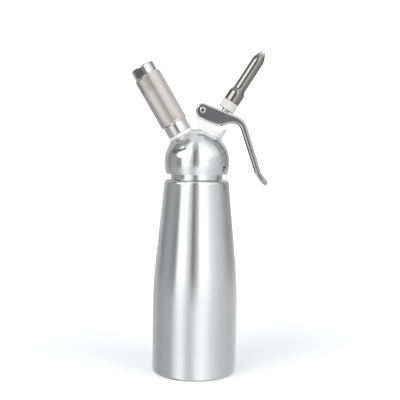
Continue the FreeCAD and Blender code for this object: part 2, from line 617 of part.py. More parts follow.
def lever():
    side = across([
        (-END_BACK, PLATE_OVER, END_ROUND), (BEND_AT, PLATE_OVER, BEND_ROUND),
        handle_point(HANDLE_LEN, 0, BEND_ROUND / 2),
        handle_point(HANDLE_LEN + 0.7 * FLARE_LEN, FLARE_OUT, SHEET),
        handle_point(HANDLE_LEN + FLARE_LEN, 0.35 * FLARE_OUT, SHEET / 2),
        handle_point(HANDLE_LEN + 0.64 * FLARE_LEN, -HANDLE_DEEP / 2, FLARE_ROUND),
        handle_point(HANDLE_LEN + 0.16 * FLARE_LEN, -0.92 * HANDLE_DEEP, FLARE_ROUND),
        handle_point(0.42 * HANDLE_DEEP, -1.06 * HANDLE_DEEP, 0.44 * BEND_ROUND),
        (BEND_AT - WAIST_BACK, -0.2 * CHEEK_UNDER, BEND_ROUND / 4),
        (BEND_AT - BELLY_BACK, -CHEEK_UNDER, 0.88 * BEND_ROUND),
        (-END_BACK, -CHEEK_UNDER, END_ROUND_LOW)], LEVER_W)
    body = side.makeFillet(EDGE_ROUND, outer_edges(side))
    inner_w = LEVER_W - 2 * SHEET
    under = -3 * CHEEK_UNDER
    behind = -2 * END_BACK
    channel = across([
        (behind, PLATE_OVER - SHEET), (BEND_AT, PLATE_OVER - SHEET, BEND_ROUND - SHEET),
        handle_point(HANDLE_LEN - SHEET, -SHEET), handle_point(HANDLE_LEN + 2 * SHEET, -2 * HANDLE_DEEP),
        (0, under), (behind, under)], inner_w)
    back_open = Part.makeBox(-behind - PLATE_BACK, inner_w, 2 * PLATE_OVER, V(behind, -inner_w / 2, 0))
    pin_hole = cross_rod(PIVOT_PIN_R, LEVER_W + 2, 0, 0)
    body = body.cut([channel, back_open, pin_hole])
    body = body.common(tongue())
    slot_r = STEM_TOP_R + STEM_SLOT_GAP
    slot = put(rod(slot_r, BOSS_TOP + SHEET, ADAPTOR_TOP), VALVE_AXIS)
    far_slot = slot.copy()
    far_slot.translate(V(-cos(radians(VALVE_LEAN)), 0, sin(radians(VALVE_LEAN))) * STEM_SLOT_GAP)
    return put(body, LEVER_FRAME).cut([slot, far_slot])


def tongue():
    """Front view of the lever: straight sides and a rounded end, swept right through it."""
    far = HANDLE_LEN + FLARE_LEN + SHEET / 2
    half = LEVER_W / 2
    nose = LEVER_W * 0.3
    back = -2 * (BEND_AT + END_BACK)
    shoulder = far - TONGUE_TAPER
    cheek = far - TONGUE_TAPER / 4
    points = [V(back, -half, 0), V(shoulder, -half, 0), V(cheek, -nose, 0), V(far, 0, 0),
              V(cheek, nose, 0), V(shoulder, half, 0), V(back, half, 0)]
    tip = Part.BSplineCurve()
    tip.interpolate(points[1:6], InitialTangent=V(1, 0, 0), FinalTangent=V(-1, 0, 0))
    edges = [tip.toShape()]
    for i, k in ((0, 1), (5, 6), (6, 0)):
        edges.append(Part.LineSegment(points[i], points[k]).toShape())
    tall = 3 * HANDLE_LEN
    block = Part.Face(Part.Wire(Part.__sortEdges__(edges))).extrude(V(0, 0, tall))
    block.translate(V(0, 0, -tall / 2))
    place = FreeCAD.Placement(V(BEND_AT, 0, PLATE_OVER), FreeCAD.Rotation(V(0, 1, 0), HANDLE_DEG))
    return put(block, place)


def outer_edges(side):
    """Long edges of the lever's outer face, both sides, without the blunt end."""
    found = []
    for edge in side.Edges:
        middle = edge.valueAt((edge.FirstParameter + edge.LastParameter) / 2)
        on_side = abs(abs(middle.y) - LEVER_W / 2) < SEAT_GAP
        turn = radians(HANDLE_DEG)
        out = (middle.x - BEND_AT) * sin(turn) + (middle.z - PLATE_OVER) * cos(turn)
        on_plate = abs(middle.z - PLATE_OVER) < SEAT_GAP and middle.x > 0
        on_handle = middle.x > BEND_AT - BEND_ROUND / 2 and out > -EDGE_ROUND and edge.Length > HANDLE_DEEP
        if on_side and (on_plate or on_handle) and len(edge.Vertexes) == 2:
            found.append(edge)
    return found


def pivot_pin():
    """Steel barrel through the ear and both cheeks, tapped at both ends."""
    body = cross_rod(PIVOT_PIN_R, LEVER_W, 0, 0).cut(cross_rod(SCREW_R, LEVER_W, 0, 0))
    return put(body, LEVER_FRAME)


def lever_screws():
    """Two round-headed screws, front and back, that clamp the cheeks on the barrel."""
    pair = []
    for side in (-1, 1):
        face = side * LEVER_W / 2
        out = V(0, side, 0)
        head_disc = Part.makeCylinder(SCREW_HEAD_R, SCREW_HEAD_H, V(0, face, 0), out)
        edge = [e for e in head_disc.Edges if abs(e.CenterOfMass.y - face) > SCREW_HEAD_H / 2 and e.Closed]
        domed = head_disc.makeFillet(0.8 * SCREW_HEAD_H, [e for e in edge if len(e.Vertexes) == 1])
        shank = Part.makeCylinder(SCREW_R, SCREW_LEN, V(0, face, 0), V(0, -side, 0))
        pair.append(put(domed.fuse(shank), LEVER_FRAME))
    return Part.makeCompound(pair)


save("bottle", bottle())
save("head_gasket", head_gasket())
save("head", head())
save("charger_nipple", charger_nipple())
save("gas_valve_flap", gas_valve_flap())
save("piercing_pin", piercing_pin())
save("charger_seal", charger_seal())
save("gas_charger", gas_charger())
save("charger_holder", charger_holder())
save("valve_stem", valve_stem())
save("stem_o_rings", stem_o_rings())
save("stem_seal", stem_seal())
save("seal_nut", seal_nut())
save("collar_nut", collar_nut())
save("valve_spring", valve_spring())
save("nozzle_adaptor", nozzle_adaptor())
save("nozzle_tip", nozzle_tip())
save("lever", lever())
save("pivot_pin", pivot_pin())
save("lever_screws", lever_screws())
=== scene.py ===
import math

import bmesh
import bpy
import numpy as np
from mathutils import Matrix, Vector


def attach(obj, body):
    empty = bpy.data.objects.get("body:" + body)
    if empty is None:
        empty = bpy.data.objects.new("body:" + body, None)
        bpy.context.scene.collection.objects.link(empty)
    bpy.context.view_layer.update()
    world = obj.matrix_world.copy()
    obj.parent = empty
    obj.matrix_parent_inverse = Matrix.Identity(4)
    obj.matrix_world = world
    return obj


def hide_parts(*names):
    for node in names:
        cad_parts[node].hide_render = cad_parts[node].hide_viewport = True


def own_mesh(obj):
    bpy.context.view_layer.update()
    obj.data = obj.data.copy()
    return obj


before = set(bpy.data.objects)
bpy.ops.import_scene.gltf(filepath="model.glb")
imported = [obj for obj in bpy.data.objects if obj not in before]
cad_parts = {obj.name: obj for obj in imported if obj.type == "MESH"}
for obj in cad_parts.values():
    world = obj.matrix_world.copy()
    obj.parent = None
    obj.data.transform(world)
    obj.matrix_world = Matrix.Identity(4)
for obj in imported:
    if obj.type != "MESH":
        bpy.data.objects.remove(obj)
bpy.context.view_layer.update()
MM = 0.001


# Camera
# A studio shot from in front, level with the head, with a fairly long lens.
# The camera looks along +Y, tilted down a few degrees and turned under a degree about its view.

FOCAL_PX = 740.0
IMAGE_PX = 400.0
SENSOR_MM = 36.0
CAMERA_AT = (3.5 * MM, -698.2 * MM, 218.0 * MM)
CAMERA_DOWN = math.radians(4.48)
CAMERA_ROLL = math.radians(0.82)

camera_data = bpy.data.cameras.new("camera")
camera_data.sensor_width = SENSOR_MM
camera_data.lens = FOCAL_PX / IMAGE_PX * SENSOR_MM
camera = bpy.data.objects.new("camera", camera_data)
camera.rotation_mode = "XYZ"
half_turn = math.pi / 2
camera.matrix_world = (
    Matrix.Translation(CAMERA_AT)
    @ Matrix.Rotation(half_turn - CAMERA_DOWN, 4, "X")
    @ Matrix.Rotation(CAMERA_ROLL, 4, "Z"))
bpy.context.scene.collection.objects.link(camera)
bpy.context.scene.camera = camera
bpy.context.scene.view_settings.view_transform = "Standard"


# Floor, white surroundings and light
# A pale table that runs back into a white room, lit by a large soft lamp from the left and a
# weaker one from the right. As in a light tent, a round screen of pale and grey strips and a small
# black card stand around the dispenser, and show only in its metal.

def linear(hex_code):
    """sRGB hex to linear: each channel c is c/12.92 near black, else ((c+0.055)/1.055)^2.4."""
    values = [int(hex_code[i:i + 2], 16) / 255 for i in (1, 3, 5)]
    return [v / 12.92 if v <= 0.04045 else ((v + 0.055) / 1.055) ** 2.4 for v in values] + [1.0]


def node(tree, kind, settings=(), **links):
    """Adds a node. settings is a dict of attributes and input values, links name input sockets."""
    made = tree.nodes.new(kind)
    for key, value in dict(settings).items():
        if isinstance(key, str) and hasattr(made, key):
            setattr(made, key, value)
        else:
            made.inputs[key].default_value = value
    for key, source in links.items():
        name = int(key[1:]) if key[0] == "i" and key[1:].isdigit() else key.replace("_", " ")
        tree.links.new(source, made.inputs[name])
    return made


def ramp(tree, source, stops):
    """Colour ramp with the given (place, grey level) stops."""
    made = node(tree, "ShaderNodeValToRGB", Fac=source)
    points = made.color_ramp.elements
    while len(points) < len(stops):
        points.new(0.5)
    for point, (place, grey) in zip(points, stops):
        point.position = place
        point.color = (grey, grey, grey, 1)
    return made


CAMERA_WHITE = 1.25
METAL_WHITE = 0.85
ROOM_LIGHT = 0.75

world = bpy.data.worlds.new("room")
world.use_nodes = True
bpy.context.scene.world = world
room = world.node_tree
room.nodes.clear()
path = node(room, "ShaderNodeLightPath")
seen = node(room, "ShaderNodeMath", {"operation": "MAXIMUM"}, i0=path.outputs["Is Camera Ray"],
            i1=path.outputs["Is Glossy Ray"])
seen = node(room, "ShaderNodeMath", {"operation": "MAXIMUM"}, i0=seen.outputs[0],
            i1=path.outputs["Is Transmission Ray"])
glare = node(room, "ShaderNodeMapRange", {"To Min": METAL_WHITE, "To Max": CAMERA_WHITE},
             Value=path.outputs["Is Camera Ray"])
white = node(room, "ShaderNodeBackground", {"Color": (1, 1, 1, 1)}, Strength=glare.outputs[0])
soft = node(room, "ShaderNodeBackground", {"Color": linear("#F2F3F5"), "Strength": ROOM_LIGHT})
mixed = node(room, "ShaderNodeMixShader", Fac=seen.outputs[0], i1=soft.outputs[0],
             i2=white.outputs[0])
node(room, "ShaderNodeOutputWorld", Surface=mixed.outputs[0])


def new_object(name, verts, faces):
    """Smooth-shaded mesh object from point and face arrays, at the origin."""
    mesh = bpy.data.meshes.new(name)
    mesh.from_pydata(np.asarray(verts, float).tolist(), [], [list(map(int, f)) for f in faces])
    mesh.polygons.foreach_set("use_smooth", [True] * len(mesh.polygons))
    mesh.update()
    made = bpy.data.objects.new(name, mesh)
    bpy.context.scene.collection.objects.link(made)
    return made


def new_material(name):
    """Empty node material; returns it with its tree and its output node."""
    made = bpy.data.materials.new(name)
    made.use_nodes = True
    made.node_tree.nodes.clear()
    return made, made.node_tree, node(made.node_tree, "ShaderNodeOutputMaterial")


FLOOR_HALF = 3.0
GLOW_FROM = 0.15
GLOW_TO = 0.9
GLOW_NEAR = 0.15
GLOW_FAR = 0.6

# White laminate. To the camera it also glows, more with distance, and so runs into the room.
floor_corners = [(-FLOOR_HALF, -FLOOR_HALF, 0), (FLOOR_HALF, -FLOOR_HALF, 0),
                 (FLOOR_HALF, FLOOR_HALF, 0), (-FLOOR_HALF, FLOOR_HALF, 0)]
floor = new_object("table", floor_corners, [(0, 1, 2, 3)])
floor_paint, tree, out = new_material("white_table_top")
paint = node(tree, "ShaderNodeBsdfPrincipled", {"Base Color": linear("#F7F7F8"), "Roughness": 0.55})
path = node(tree, "ShaderNodeLightPath")
where = node(tree, "ShaderNodeTexCoord")
away = node(tree, "ShaderNodeVectorMath", {"operation": "LENGTH"}, i0=where.outputs["Object"])
fade = node(tree, "ShaderNodeMapRange", {
    "From Min": GLOW_FROM, "From Max": GLOW_TO, "To Min": GLOW_NEAR, "To Max": GLOW_FAR},
    Value=away.outputs["Value"])
shine = node(tree, "ShaderNodeMath", {"operation": "MULTIPLY"}, i0=fade.outputs[0],
             i1=path.outputs["Is Camera Ray"])
glow = node(tree, "ShaderNodeEmission", {"Color": (1, 1, 1, 1)}, Strength=shine.outputs[0])
mixed = node(tree, "ShaderNodeAddShader", i0=paint.outputs[0], i1=glow.outputs[0])
tree.links.new(mixed.outputs[0], out.inputs["Surface"])
floor.data.materials.append(floor_paint)
floor.visible_glossy = False

SCREEN_R = 1.3
SCREEN_LOW = -3.2
SCREEN_TOP = 4.0
BRIGHTEST = 4.0


def wall_between(name, low, high):
    """Strip of quads between two rows of as many points."""
    count = len(low)
    quads = [(i, i + 1, count + i + 1, count + i) for i in range(count - 1)]
    return new_object(name, np.vstack([low, high]), quads)


turns = np.linspace(-math.pi, math.pi, 181)
circle = [SCREEN_R * np.sin(turns), -SCREEN_R * np.cos(turns)]
screen = wall_between("screen", *(
    np.column_stack([*circle, np.full(len(turns), height)]) for height in (SCREEN_LOW, SCREEN_TOP)))
strips, tree, out = new_material("studio_screen")
where = node(tree, "ShaderNodeTexCoord")
split = node(tree, "ShaderNodeSeparateXYZ", Vector=where.outputs["Object"])
front = node(tree, "ShaderNodeMath", {"operation": "MULTIPLY", 1: -1.0}, i0=split.outputs["Y"])
angle = node(tree, "ShaderNodeMath", {"operation": "ARCTAN2"}, i0=split.outputs["X"],
             i1=front.outputs[0])
unit = node(tree, "ShaderNodeMapRange", {"From Min": -math.pi, "From Max": math.pi},
            Value=angle.outputs[0])


def strip_ramp(stops):
    """Light round the screen: stops are degrees from the camera, right positive, and levels."""
    shares = [((turn + 180) / 360, level / BRIGHTEST) for turn, level in stops]
    return ramp(tree, unit.outputs[0], shares).outputs[0]


def between_heights(lower, upper, heights):
    """Changes from one light level to another between two heights on the screen, in metres."""
    share = node(tree, "ShaderNodeMapRange", {
        "interpolation_type": "SMOOTHSTEP", "From Min": heights[0], "From Max": heights[1]},
        Value=split.outputs["Z"])
    mix = node(tree, "ShaderNodeMix", {"data_type": "RGBA"}, Factor=share.outputs[0], i6=lower,
               i7=upper)
    return mix.outputs[2]


# Dark under the floor, soft strips for the body, crisp ones for the shoulder and head, and
# stronger ones high up. Each set gives way to the next between two heights.
INTO_LOW = (-2.2, -1.5)
INTO_MIDDLE = (-0.22, 0.12)
INTO_HIGH = (0.42, 0.70)
INTO_TOP = (1.2, 1.8)
dark_strips = strip_ramp([
    (-180, 0.06), (35, 0.06), (60, 0.5), (130, 0.5), (150, 0.06), (180, 0.06)])
low_strips = strip_ramp([
    (-180, 0.8), (-150, 0.58), (-130, 0.52), (-110, 0.42), (-90, 0.47), (-66, 0.52), (-56, 0.80),
    (-47, 1.08), (-38, 1.16), (-30, 1.02), (-22, 0.78), (-12, 0.68), (-4, 0.82), (4, 1.08),
    (14, 1.20), (26, 1.20), (36, 1.02), (48, 0.86), (64, 0.74), (80, 0.66), (110, 0.60),
    (128, 0.64), (180, 0.9)])
middle_strips = strip_ramp([
    (-180, 0.8), (-152, 0.62), (-130, 0.50), (-113, 0.26), (-104, 0.36), (-84, 0.42), (-72, 0.34),
    (-60, 0.24), (-55, 0.50), (-50, 1.40), (-30, 1.42), (-25, 1.0), (-18, 0.80), (-13, 0.60),
    (-11, 0.20), (-3, 0.20), (-1, 0.50), (6, 0.50), (12, 1.42), (33, 1.38), (46, 0.98),
    (64, 0.78), (84, 0.64), (104, 0.42), (122, 0.36), (140, 0.42), (160, 0.55), (180, 0.8)])
high_strips = strip_ramp([
    (-180, 1.0), (-150, 0.35), (-126, 0.6), (-112, 0.30), (-86, 0.30), (-76, 0.9), (-66, 3.2),
    (-30, 3.2), (-24, 1.4), (-18, 0.75), (-13, 0.60), (-11, 0.20), (-3, 0.20), (-1, 0.45),
    (7, 0.45), (13, 1.8), (40, 1.6), (60, 1.15), (85, 0.85), (100, 0.45), (108, 0.22),
    (122, 0.22), (132, 0.6), (180, 1.0)])
top_strips = strip_ramp([
    (-180, 0.9), (-118, 0.6), (-90, 0.35), (-62, 0.4), (-50, 1.1), (-30, 1.3), (-20, 0.65),
    (-8, 0.5), (5, 0.55), (14, 1.3), (45, 1.2), (80, 0.8), (105, 0.5), (125, 0.3), (140, 0.8),
    (180, 0.9)])
level = between_heights(low_strips, middle_strips, INTO_MIDDLE)
level = between_heights(level, high_strips, INTO_HIGH)
level = between_heights(level, top_strips, INTO_TOP)
level = between_heights(dark_strips, level, INTO_LOW)
light = node(tree, "ShaderNodeEmission", {"Strength": BRIGHTEST}, Color=level)
tree.links.new(light.outputs[0], out.inputs["Surface"])
screen.data.materials.append(strips)

# The card is bent about the charger holder's axis, beside its cap, and darkens the cap's left side.
GAS_LEAN = math.radians(-30.7)
GAS_CROSS = 199.0
CARD_R = 70.0
CARD_LOW = 84.0
CARD_TOP = 130.0
CARD_GREY = 0.16


def leaning(lean, crossing):
    """Takes points about an upright axis to one that leans in the XZ plane through a crossing."""
    turn = np.array([[math.cos(lean), 0, math.sin(lean)], [0, 1, 0],
                     [-math.sin(lean), 0, math.cos(lean)]])
    return lambda points: points @ turn.T + np.array([0, 0, crossing])


on_gas_axis = leaning(GAS_LEAN, GAS_CROSS)
bend = np.radians(np.linspace(-100, -8, 24))
curve = [CARD_R * np.sin(bend), -CARD_R * np.cos(bend)]
card = wall_between("black_card", *(
    on_gas_axis(np.column_stack([*curve, np.full(len(bend), height)])) * MM
    for height in (CARD_LOW, CARD_TOP)))
velvet, tree, out = new_material("black_velvet")
cloth = node(tree, "ShaderNodeEmission", {"Color": (1, 1, 1, 1), "Strength": CARD_GREY})
tree.links.new(cloth.outputs[0], out.inputs["Surface"])
card.data.materials.append(velvet)

for backdrop in (screen, card):
    backdrop.visible_camera = False
    backdrop.visible_diffuse = False
    backdrop.visible_transmission = False
    backdrop.visible_shadow = False


LAMP_AIM = (0, 0, 0.15)


def lamp(name, place, size, watts):
    """Square soft lamp at a place, aimed at the bottle; it doesn't show in the metal."""
    data = bpy.data.lights.new(name, "AREA")
    data.size = size
    data.energy = watts
    made = bpy.data.objects.new(name, data)
    aim = Vector(LAMP_AIM) - Vector(place)
    made.location = place
    made.rotation_euler = aim.to_track_quat("-Z", "Y").to_euler()
    made.visible_glossy = False
    bpy.context.scene.collection.objects.link(made)


lamp("lamp_left", (-0.9, -0.9, 1.1), size=0.9, watts=9.0)
lamp("lamp_right", (1.0, -0.6, 0.8), size=0.8, watts=5.0)


# Bottle
# Deep-drawn aluminium, spun in towards the neck, then satin-brushed on a lathe.
# It stands on a narrow ring around a shallow hollow, and its bare neck shows under the head.

BOTTLE_R = 40.0
WALL = 1.6
HOLLOW_Z = 1.4
FOOT_IN = 32.0
FOOT_OUT = 33.5
TAPER_Z = 84.0
TAPER_TAN = math.tan(math.radians(5.67))
TAPER_BLEND = 445.0
SHOULDER_Z = 183.0
SHOULDER_ROUND = 4.0
SHOULDER_WALL = 1.44
NECK_R = 24.5
NECK_IN = 21.9
LIP_Z = 198.0
LIP_ROUND = 0.6
INSIDE_Z = 4.4


def rounded(corners, steps=8):
    """Open outline with round corners: each (r, z, radius) becomes an arc tangent to both sides."""
    points = []
    for i, corner in enumerate(corners):
        here = np.array(corner[:2], float)
        if len(corner) < 3:
            points.append(here[None])
            continue
        before = np.array(corners[i - 1][:2], float) - here
        after = np.array(corners[i + 1][:2], float) - here
        before /= np.linalg.norm(before)
        after /= np.linalg.norm(after)
        half = math.acos(np.clip(before @ after, -1, 1)) / 2
        middle = (before + after) / np.linalg.norm(before + after)
        centre = here + middle * corner[2] / math.sin(half)
        first = here + before * corner[2] / math.tan(half) - centre
        last = here + after * corner[2] / math.tan(half) - centre
        start = math.atan2(first[1], first[0])
        sweep = (math.atan2(last[1], last[0]) - start + math.pi) % (2 * math.pi) - math.pi
        turn = start + sweep * np.linspace(0, 1, steps)
        points.append(centre + corner[2] * np.stack([np.cos(turn), np.sin(turn)], 1))
    return np.vstack(points)


def grid_faces(rows, columns):
    """Quads of a rows by columns grid whose columns run round and close on themselves."""
    row, column = np.meshgrid(np.arange(rows - 1), np.arange(columns), indexing="ij")
    right = (column + 1) % columns
    return np.stack([row * columns + column, row * columns + right, (row + 1) * columns + right,
                     (row + 1) * columns + column], -1).reshape(-1, 4)


def turned(name, outline, columns=128, place=None):
    """Lathe surface: point (r, z) of the outline goes to (r cos t, r sin t, z) for t around."""
    outline = np.asarray(outline, float)
    t = np.arange(columns) * 2 * math.pi / columns
    r = outline[:, :1]
    points = np.stack([r * np.cos(t), r * np.sin(t), np.repeat(outline[:, 1:], columns, 1)], -1)
    return finish_grid(name, points, grid_faces(len(outline), columns), place)


def finish_grid(name, points, faces, place=None):
    """Puts grid points in place, in metres, merges poles and turns the faces outwards."""
    points = points.reshape(-1, 3)
    if place is not None:
        points = place(points)
    made = new_object(name, points * MM, faces)
    work = bmesh.new()
    work.from_mesh(made.data)
    bmesh.ops.remove_doubles(work, verts=work.verts, dist=1e-6)
    bmesh.ops.recalc_face_normals(work, faces=work.faces)
    work.to_mesh(made.data)
    work.free()
    return made


SHARP_FROM = math.radians(32)


def sharpen(piece):
    """Smooth shading, with sharp edges where two faces meet at more than the angle."""
    piece.data.polygons.foreach_set("use_smooth", [True] * len(piece.data.polygons))
    piece.data.set_sharp_from_angle(angle=SHARP_FROM)


def settle(piece, body, slot, material, *nodes):
    """Gives a piece its material and body and hides the nodes it stands for; slot is not used."""
    piece.data.materials.clear()
    piece.data.materials.append(material)
    sharpen(piece)
    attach(piece, body)
    if nodes:
        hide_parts(*nodes)


CLOUD_MM = 14.0
TONES = {"To Min": 0.97, "To Max": 1.02}
HIGHLIGHT_FACING = {"From Min": 0.75, "From Max": 0.97}


def streaked(tree, where, ring_mm, streak_mm):
    """Noise drawn out into streaks, ring_mm wide along Z and streak_mm long across it."""
    per_metre = (1 / (streak_mm * MM), 1 / (streak_mm * MM), 1 / (ring_mm * MM))
    scaled = node(tree, "ShaderNodeVectorMath", {"operation": "MULTIPLY", 1: per_metre},
                  i0=where.outputs["Object"])
    return node(tree, "ShaderNodeTexNoise", {"Scale": 1.0, "Detail": 3.0}, Vector=scaled.outputs[0])


def metal(name, colour, rough, ring_mm, streak_mm, spread, bump_mm, painted_highlight=None):
    """Metal finished in streaks: they vary its roughness by spread, and its tone and bump a little.

    With a highlight colour, faces that don't look front or back take it: a painted highlight.
    """
    made, tree, out = new_material(name)
    where = node(tree, "ShaderNodeTexCoord")
    streaks = streaked(tree, where, ring_mm, streak_mm)
    blotch = node(tree, "ShaderNodeTexNoise", {"Scale": 1 / (CLOUD_MM * MM), "Detail": 2.0},
                  Vector=where.outputs["Object"])
    rough_map = node(tree, "ShaderNodeMapRange", {
        "To Min": rough - spread, "To Max": rough + spread}, Value=streaks.outputs["Fac"])
    tone = node(tree, "ShaderNodeMapRange", TONES, Value=streaks.outputs["Fac"])
    cloud = node(tree, "ShaderNodeMapRange", TONES, Value=blotch.outputs["Fac"])
    both = node(tree, "ShaderNodeMath", {"operation": "MULTIPLY"}, i0=tone.outputs[0],
                i1=cloud.outputs[0])
    tint = node(tree, "ShaderNodeVectorMath", {"operation": "SCALE", 0: tuple(linear(colour)[:3])},
                Scale=both.outputs[0])
    # Painted highlight: faces that don't look front or back take the paler colour.
    if painted_highlight:
        faces = node(tree, "ShaderNodeSeparateXYZ", Vector=where.outputs["Normal"])
        side = node(tree, "ShaderNodeMath", {"operation": "ABSOLUTE"}, i0=faces.outputs["Y"])
        flat = node(tree, "ShaderNodeMapRange", HIGHLIGHT_FACING, Value=side.outputs[0])
        blend = node(tree, "ShaderNodeMix", {
            "data_type": "RGBA", 6: linear(painted_highlight), 7: linear(colour)}, Factor=flat.outputs[0])
        tree.links.new(blend.outputs[2], tint.inputs[0])
    bump = node(tree, "ShaderNodeBump", {"Strength": 0.3, "Distance": bump_mm * MM},
                Height=streaks.outputs["Fac"])
    shader = node(tree, "ShaderNodeBsdfPrincipled", {"Metallic": 1.0}, Base_Color=tint.outputs[0],
                  Roughness=rough_map.outputs[0], Normal=bump.outputs[0])
    tree.links.new(shader.outputs[0], out.inputs["Surface"])
    return made


# Satin-brushed aluminium: pale, with soft-edged upright reflections and fine rings from the lathe.
# The rings are drawn half a millimetre wide, coarser than real brushing, so that they show.
brushed_aluminium = metal("brushed_aluminium", "#E4E5E7", 0.17, 0.5, 30.0, 0.02, 0.008)
shoulder_r = BOTTLE_R - (SHOULDER_Z - TAPER_Z) * TAPER_TAN
bottle_line = rounded([
    (0, HOLLOW_Z), (FOOT_IN, HOLLOW_Z, 2), (FOOT_OUT, 0, 1), (BOTTLE_R, 0, 2.2),
    (BOTTLE_R, TAPER_Z, TAPER_BLEND), (shoulder_r, SHOULDER_Z, SHOULDER_ROUND),
    (NECK_R, SHOULDER_Z, 0.7), (NECK_R, LIP_Z, LIP_ROUND), (NECK_IN, LIP_Z, LIP_ROUND),
    (NECK_IN, SHOULDER_Z - WALL, 1.5), (shoulder_r - SHOULDER_WALL, SHOULDER_Z - WALL, 2.4),
    (BOTTLE_R - WALL, TAPER_Z, TAPER_BLEND - WALL), (BOTTLE_R - WALL, INSIDE_Z, 4),
    (0, INSIDE_Z)], 12)
bottle = turned("bottle_shell", bottle_line, 192)
settle(bottle, "bottle", "brushed_aluminium", brushed_aluminium, "bottle")


# Head gasket
# Moulded red silicone ring, pressed between the bottle's lip and the head's ceiling.
# It shows only when the head is off.

def soft_rubber(name, colour, rough, grain_mm, clear=0.0):
    """Rubber or silicone: fine moulded grain in bump and roughness over a faintly cloudy colour."""
    made, tree, out = new_material(name)
    where = node(tree, "ShaderNodeTexCoord")
    grain = node(tree, "ShaderNodeTexNoise", {"Scale": 1 / (grain_mm * MM), "Detail": 4.0},
                 Vector=where.outputs["Object"])
    level = node(tree, "ShaderNodeMapRange", {"To Min": 0.88, "To Max": 1.06},
                 Value=grain.outputs["Fac"])
    tint = node(tree, "ShaderNodeVectorMath", {"operation": "SCALE", 0: tuple(linear(colour)[:3])},
                Scale=level.outputs[0])
    rough_map = node(tree, "ShaderNodeMapRange", {"To Min": rough - 0.08, "To Max": rough + 0.08},
                     Value=grain.outputs["Fac"])
    bump = node(tree, "ShaderNodeBump", {"Strength": 0.3, "Distance": 0.04 * MM},
                Height=grain.outputs["Fac"])
    shader = node(tree, "ShaderNodeBsdfPrincipled", {"IOR": 1.43, "Transmission Weight": clear},
                  Base_Color=tint.outputs[0], Roughness=rough_map.outputs[0],
                  Normal=bump.outputs[0])
    tree.links.new(shader.outputs[0], out.inputs["Surface"])
    return made


def dress(name, material):
    """Puts a material on a CAD node, in every slot it has."""
    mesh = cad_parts[name].data
    if not mesh.materials:
        mesh.materials.append(material)
    for i in range(len(mesh.materials)):
        mesh.materials[i] = material


# Moulded silicone: an even, deep red with a soft gleam.
red_silicone = soft_rubber("red_silicone", "#B3241C", 0.5, 0.6)
dress("head_gasket", red_silicone)


# Head
# Aluminium casting: the dome is turned and brushed like the bottle, while the pad, the lever's
# saddle and the valve boss on top keep their bead-blasted casting skin.

DOME_R = 30.5
DOME_Z = 199.5
DOME_RING = 0.45
DOME_STREAK = 26.0
BLAST_GRAIN = 0.5
SKIN_STARTS = 0.12
SKIN_FULL = 0.9
SKIN_ABOVE = 6.0
SKIN_ALL_ABOVE = 10.0
SKIN_ROUGH = 0.62
SKIN_METALLIC = 0.35


def cast_head():
    """Brushed metal on the dome's sphere, blasted skin where the surface stands over it.

    The brushed part mirrors its surroundings in soft rings; the skin is nearly white and matt.
    """
    made, tree, out = new_material("cast_aluminium")
    where = node(tree, "ShaderNodeTexCoord")
    rings = streaked(tree, where, DOME_RING, DOME_STREAK)
    blast = node(tree, "ShaderNodeTexNoise", {"Scale": 1 / (BLAST_GRAIN * MM), "Detail": 5.0},
                 Vector=where.outputs["Object"])
    away = node(tree, "ShaderNodeVectorMath", {"operation": "DISTANCE", 1: (0, 0, DOME_Z * MM)},
                i0=where.outputs["Object"])
    stands = node(tree, "ShaderNodeMapRange", {
        "From Min": (DOME_R + SKIN_STARTS) * MM, "From Max": (DOME_R + SKIN_FULL) * MM},
        Value=away.outputs["Value"])
    split = node(tree, "ShaderNodeSeparateXYZ", Vector=where.outputs["Object"])
    upper = node(tree, "ShaderNodeMapRange", {
        "From Min": (DOME_Z + SKIN_ABOVE) * MM, "From Max": (DOME_Z + SKIN_ALL_ABOVE) * MM},
        Value=split.outputs["Z"])
    cast = node(tree, "ShaderNodeMath", {"operation": "MULTIPLY"}, i0=stands.outputs[0],
                i1=upper.outputs[0])
    colour = node(tree, "ShaderNodeMix", {
        "data_type": "RGBA", 6: linear("#E4E5E7"), 7: linear("#F4F4F3")}, Factor=cast.outputs[0])
    fleck = node(tree, "ShaderNodeMapRange", {"To Min": 0.95, "To Max": 1.03},
                 Value=blast.outputs["Fac"])
    tint = node(tree, "ShaderNodeVectorMath", {"operation": "SCALE"}, i0=colour.outputs[2],
                Scale=fleck.outputs[0])
    rough_dome = node(tree, "ShaderNodeMapRange", {"To Min": 0.13, "To Max": 0.17},
                      Value=rings.outputs["Fac"])
    rough_map = node(tree, "ShaderNodeMix", {3: SKIN_ROUGH}, i0=cast.outputs[0],
                     i2=rough_dome.outputs[0])
    height = node(tree, "ShaderNodeMix", i0=cast.outputs[0], i2=rings.outputs["Fac"],
                  i3=blast.outputs["Fac"])
    bump = node(tree, "ShaderNodeBump", {"Strength": 0.3, "Distance": 0.015 * MM},
                Height=height.outputs[0])
    bare = node(tree, "ShaderNodeMapRange", {"To Min": 1.0, "To Max": SKIN_METALLIC},
                Value=cast.outputs[0])
    shader = node(tree, "ShaderNodeBsdfPrincipled", Metallic=bare.outputs[0],
                  Base_Color=tint.outputs[0], Roughness=rough_map.outputs[0],
                  Normal=bump.outputs[0])
    tree.links.new(shader.outputs[0], out.inputs["Surface"])
    return made


def smooth_copy(name, node_name):
    """Copy of a CAD node's mesh with its points merged, for smooth shading."""
    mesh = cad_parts[node_name].data.copy()
    mesh.name = name
    made = bpy.data.objects.new(name, mesh)
    bpy.context.scene.collection.objects.link(made)
    work = bmesh.new()
    work.from_mesh(mesh)
    bmesh.ops.remove_doubles(work, verts=work.verts, dist=2e-6)
    work.to_mesh(mesh)
    work.free()
    if mesh.attributes.get("custom_normal"):
        mesh.attributes.remove(mesh.attributes["custom_normal"])
    return made


head = smooth_copy("head_casting", "head")
settle(head, "head", "cast_aluminium", cast_head(), "head")


